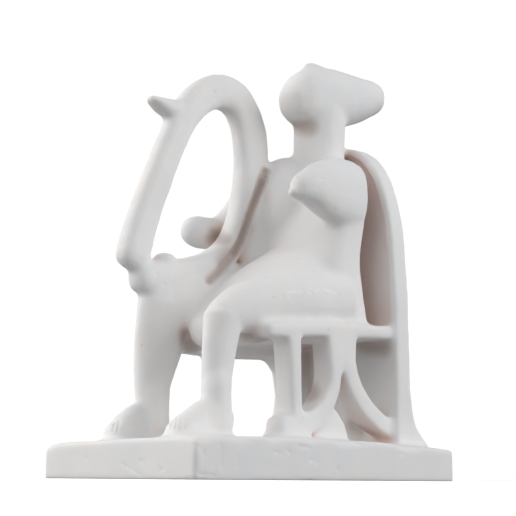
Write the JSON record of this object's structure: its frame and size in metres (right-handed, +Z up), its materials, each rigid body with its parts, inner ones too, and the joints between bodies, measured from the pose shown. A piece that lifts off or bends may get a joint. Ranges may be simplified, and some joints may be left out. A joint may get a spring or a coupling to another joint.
{
  "type": "seated harp player figurine",
  "caption": "Stylised figure with a tipped-back head, seated on a round-backed chair and holding an open frame harp, cast in one with a rectangular plinth.",
  "frame": {"origin": "middle of the plinth's underside, at ground level", "axes": "+Z up, -Y the way the player looks, +X the player's left"},
  "size_m": [0.0858, 0.1372, 0.1749],
  "materials": {
    "plaster": "matte cast plaster with fine pinholes"
  },
  "bodies": {
    "root": {"harp_player_with_plinth": "plaster"}
  },
  "joints": []
}
